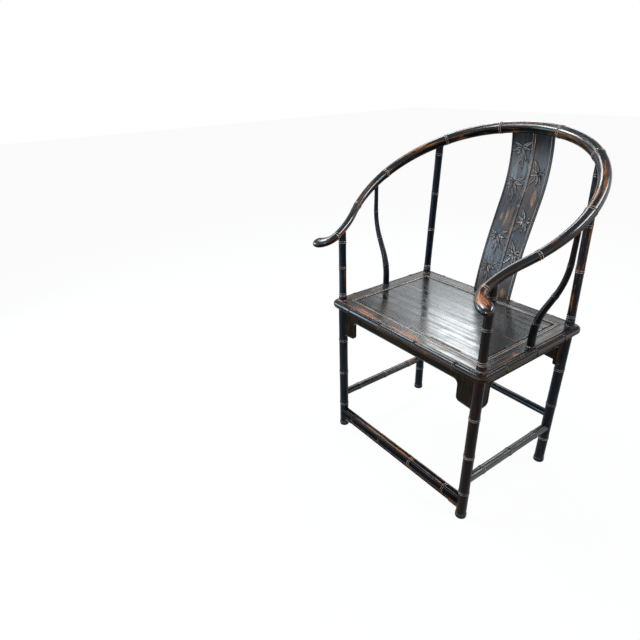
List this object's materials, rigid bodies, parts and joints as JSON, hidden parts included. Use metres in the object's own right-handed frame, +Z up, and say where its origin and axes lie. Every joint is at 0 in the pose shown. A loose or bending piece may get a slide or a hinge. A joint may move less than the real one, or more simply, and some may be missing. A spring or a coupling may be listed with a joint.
{
  "type": "horseshoe back armchair",
  "caption": "Armchair with a horseshoe crest rail that runs down into the arms, a curved carved splat, a framed panel seat, bamboo-carved sticks and a footrest.",
  "frame": {"origin": "on the floor, under the middle of the chair's overall width and depth", "axes": "+X to the right of someone facing the chair, +Y to the chair's back, +Z up"},
  "size_m": [0.6912, 0.5664, 0.9888],
  "materials": {
    "frame_lacquer": "dark brown-black lacquer, semi-gloss, worn to brown on the edges",
    "panel_lacquer": "dark brown-black lacquer, glossy",
    "splat_lacquer": "dark lacquer, semi-gloss, worn to orange-brown in patches",
    "bare_wood": "plain hardwood, no lacquer"
  },
  "bodies": {
    "root": {"apron_front": "frame_lacquer", "apron_left": "frame_lacquer", "apron_rear": "frame_lacquer", "apron_right": "frame_lacquer", "arm_left": "frame_lacquer", "arm_right": "frame_lacquer", "back_splat": "splat_lacquer", "crest_rail_centre": "frame_lacquer", "crest_rail_left": "frame_lacquer", "crest_rail_right": "frame_lacquer", "footrest": "frame_lacquer", "footrest_apron": "frame_lacquer", "frame_pegs": "bare_wood", "leg_front_left": "frame_lacquer", "leg_front_right": "frame_lacquer", "leg_rear_left": "frame_lacquer", "leg_rear_right": "frame_lacquer", "scarf_pegs": "bare_wood", "seat_batten_left": "bare_wood", "seat_batten_right": "bare_wood", "seat_panel": "panel_lacquer", "seat_rail_front": "frame_lacquer", "seat_rail_left": "frame_lacquer", "seat_rail_rear": "frame_lacquer", "seat_rail_right": "frame_lacquer", "side_post_left": "frame_lacquer", "side_post_right": "frame_lacquer", "spandrel_front_left": "frame_lacquer", "spandrel_front_right": "frame_lacquer", "spandrel_left_front": "frame_lacquer", "spandrel_left_rear": "frame_lacquer", "spandrel_rear_left": "frame_lacquer", "spandrel_rear_right": "frame_lacquer", "spandrel_right_front": "frame_lacquer", "spandrel_right_rear": "frame_lacquer", "stretcher_left": "frame_lacquer", "stretcher_rear": "frame_lacquer", "stretcher_right": "frame_lacquer"}
  },
  "joints": []
}
